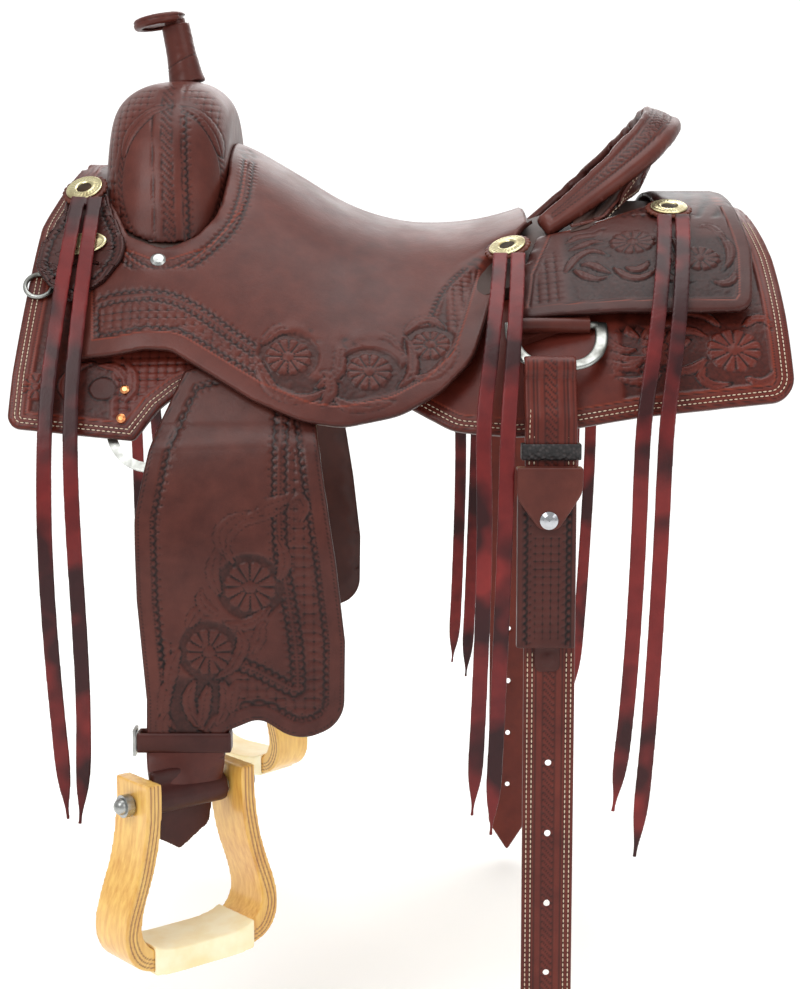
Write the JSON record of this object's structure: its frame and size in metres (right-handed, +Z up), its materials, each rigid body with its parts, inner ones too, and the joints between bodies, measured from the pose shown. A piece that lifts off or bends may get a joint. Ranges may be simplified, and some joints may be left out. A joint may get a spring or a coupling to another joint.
{
  "type": "western saddle",
  "caption": "Western ranch saddle with tooled leather skirts, horn, cantle, fenders, wooden stirrups, rear billets and hanging strings.",
  "frame": {"origin": "on the centre plane, at the underside of the saddle's channel below the middle of the seat, which is the top of the horse's back", "axes": "+X to the rear (cantle), -X to the front (horn), -Y to the near (left) side, +Z up"},
  "size_m": [0.6692, 0.7308, 0.9253],
  "materials": {
    "oiled_leather": "oiled satin, tooled",
    "skirt_leather": "oiled satin, tooled",
    "string_leather": "burnished latigo",
    "hidden_leather": "natural",
    "fleece": "woolly pile",
    "tree_rawhide": "varnished rawhide over wood",
    "stirrup_wood": "varnished laminate",
    "tread_rawhide": "smooth rawhide",
    "steel": "satin",
    "zinc": "bright zinc",
    "snap_chrome": "bright",
    "concho_brass": "antiqued",
    "copper": "bright copper"
  },
  "bodies": {
    "saddle": {"fleece": "fleece", "skirt_near": "skirt_leather", "skirt_off": "skirt_leather", "tree_bars": "tree_rawhide", "tree_fork": "tree_rawhide", "tree_cantle": "tree_rawhide", "horn_post": "steel", "horn_neck_wrap": "oiled_leather", "horn_cap_cover": "oiled_leather", "swell_cover": "oiled_leather", "strainer_plate": "steel", "ground_seat": "hidden_leather", "seat_leather": "oiled_leather", "cantle_roll": "oiled_leather", "cantle_back_cover": "oiled_leather", "rear_jockey_near": "oiled_leather", "rear_jockey_off": "oiled_leather", "latigo_keepers": "oiled_leather", "leather_loops": "hidden_leather", "rig_plates": "steel", "rear_rig_straps": "oiled_leather", "conchos": "concho_brass", "rosettes": "oiled_leather", "rig_rivets": "copper", "swell_screws": "zinc"},
    "leather_near": {"fender_top_near": "oiled_leather"},
    "leg_near": {"fender_near": "oiled_leather", "stirrup_leather_near": "oiled_leather", "hobble_strap_near": "oiled_leather", "hobble_buckle_near": "steel", "sliding_buckle_near": "steel"},
    "neck_near": {"bolt_loop_near": "oiled_leather", "stirrup_bolt_near": "zinc"},
    "stirrup_near": {"stirrup_wood_near": "stirrup_wood", "tread_wrap_near": "tread_rawhide"},
    "dee_near": {"rear_dee_near": "steel"},
    "billet_near": {"billet_near": "oiled_leather", "sheath_pouch": "oiled_leather"},
    "keeper_near": {"billet_keeper_near": "oiled_leather"},
    "strings_front_near": {"strings_front_near": "string_leather"},
    "strings_seat_near": {"strings_seat_near": "string_leather"},
    "strings_rear_near": {"strings_rear_near": "string_leather"},
    "leather_off": {"fender_top_off": "oiled_leather"},
    "leg_off": {"fender_off": "oiled_leather", "stirrup_leather_off": "oiled_leather", "hobble_strap_off": "oiled_leather", "hobble_buckle_off": "steel", "sliding_buckle_off": "steel"},
    "neck_off": {"bolt_loop_off": "oiled_leather", "stirrup_bolt_off": "zinc"},
    "stirrup_off": {"stirrup_wood_off": "stirrup_wood", "tread_wrap_off": "tread_rawhide"},
    "dee_off": {"rear_dee_off": "steel"},
    "billet_off": {"billet_off": "oiled_leather"},
    "keeper_off": {"billet_keeper_off": "oiled_leather"},
    "strings_front_off": {"strings_front_off": "string_leather"},
    "strings_seat_off": {"strings_seat_off": "string_leather"},
    "strings_rear_off": {"strings_rear_off": "string_leather"},
    "sheath_lid": {"sheath_flap": "oiled_leather", "sheath_snap": "snap_chrome"}
  },
  "joints": [
    {"name": "swing_near", "type": "hinge", "parent": "saddle", "child": "leather_near", "pos_m": [-0.122, -0.23405, -0.05], "axis": [0, 0.866, -0.5], "range_deg": [-15, 20]},
    {"name": "flare_near", "type": "hinge", "parent": "leather_near", "child": "leg_near", "pos_m": [-0.14, -0.278, -0.112], "axis": [-1, 0, 0], "range_deg": [0, 70]},
    {"name": "turn_near", "type": "hinge", "parent": "leg_near", "child": "neck_near", "pos_m": [-0.181, -0.297, -0.384], "axis": [0, 0, 1], "range_deg": [-40, 50]},
    {"name": "stirrup_tilt_near", "type": "hinge", "parent": "neck_near", "child": "stirrup_near", "pos_m": [-0.181, -0.297, -0.41], "axis": [0.766, 0.6428, 0], "range_deg": [-35, 35]},
    {"name": "rear_dee_hinge_near", "type": "hinge", "parent": "saddle", "child": "dee_near", "pos_m": [0.134, -0.22306, -0.0185], "axis": [-1, 0, 0], "range_deg": [0, 55]},
    {"name": "billet_swing_near", "type": "hinge", "parent": "dee_near", "child": "billet_near", "pos_m": [0.126, -0.26245, -0.0532], "axis": [-1, 0, 0], "range_deg": [0, 60]},
    {"name": "keeper_slide_near", "type": "slide", "parent": "billet_near", "child": "keeper_near", "axis": [0, 0, 1], "range_m": [-0.003, 0.005]},
    {"name": "front_strings_lift_near", "type": "hinge", "parent": "saddle", "child": "strings_front_near", "pos_m": [-0.28447, -0.12539, 0.09902], "axis": [-1, 0, 0], "range_deg": [0, 35], "deforming": ["strings_front_near"]},
    {"name": "seat_strings_lift_near", "type": "hinge", "parent": "saddle", "child": "strings_seat_near", "pos_m": [0.097, -0.14727, 0.047], "axis": [-1, 0, 0], "range_deg": [0, 35], "deforming": ["strings_seat_near"]},
    {"name": "rear_strings_lift_near", "type": "hinge", "parent": "saddle", "child": "strings_rear_near", "pos_m": [0.244, -0.12, 0.082], "axis": [-1, 0, 0], "range_deg": [0, 35], "deforming": ["strings_rear_near"]},
    {"name": "swing_off", "type": "hinge", "parent": "saddle", "child": "leather_off", "pos_m": [-0.122, 0.23405, -0.05], "axis": [0, 0.866, 0.5], "range_deg": [-15, 20]},
    {"name": "flare_off", "type": "hinge", "parent": "leather_off", "child": "leg_off", "pos_m": [-0.14, 0.278, -0.112], "axis": [1, 0, 0], "range_deg": [0, 70]},
    {"name": "turn_off", "type": "hinge", "parent": "leg_off", "child": "neck_off", "pos_m": [-0.181, 0.297, -0.384], "axis": [0, 0, -1], "range_deg": [-40, 50]},
    {"name": "stirrup_tilt_off", "type": "hinge", "parent": "neck_off", "child": "stirrup_off", "pos_m": [-0.181, 0.297, -0.41], "axis": [0.766, -0.6428, 0], "range_deg": [-35, 35]},
    {"name": "rear_dee_hinge_off", "type": "hinge", "parent": "saddle", "child": "dee_off", "pos_m": [0.134, 0.22306, -0.0185], "axis": [1, 0, 0], "range_deg": [0, 55]},
    {"name": "billet_swing_off", "type": "hinge", "parent": "dee_off", "child": "billet_off", "pos_m": [0.126, 0.26245, -0.0532], "axis": [1, 0, 0], "range_deg": [0, 60]},
    {"name": "keeper_slide_off", "type": "slide", "parent": "billet_off", "child": "keeper_off", "axis": [0, 0, 1], "range_m": [-0.003, 0.005]},
    {"name": "front_strings_lift_off", "type": "hinge", "parent": "saddle", "child": "strings_front_off", "pos_m": [-0.28447, 0.12539, 0.09902], "axis": [1, 0, 0], "range_deg": [0, 35], "deforming": ["strings_front_off"]},
    {"name": "seat_strings_lift_off", "type": "hinge", "parent": "saddle", "child": "strings_seat_off", "pos_m": [0.097, 0.14727, 0.047], "axis": [1, 0, 0], "range_deg": [0, 35], "deforming": ["strings_seat_off"]},
    {"name": "rear_strings_lift_off", "type": "hinge", "parent": "saddle", "child": "strings_rear_off", "pos_m": [0.244, 0.12, 0.082], "axis": [1, 0, 0], "range_deg": [0, 35], "deforming": ["strings_rear_off"]},
    {"name": "sheath_flap_hinge", "type": "hinge", "parent": "billet_near", "child": "sheath_lid", "pos_m": [0.122, -0.2905, -0.134], "axis": [-1, 0, 0], "range_deg": [0, 60]}
  ]
}
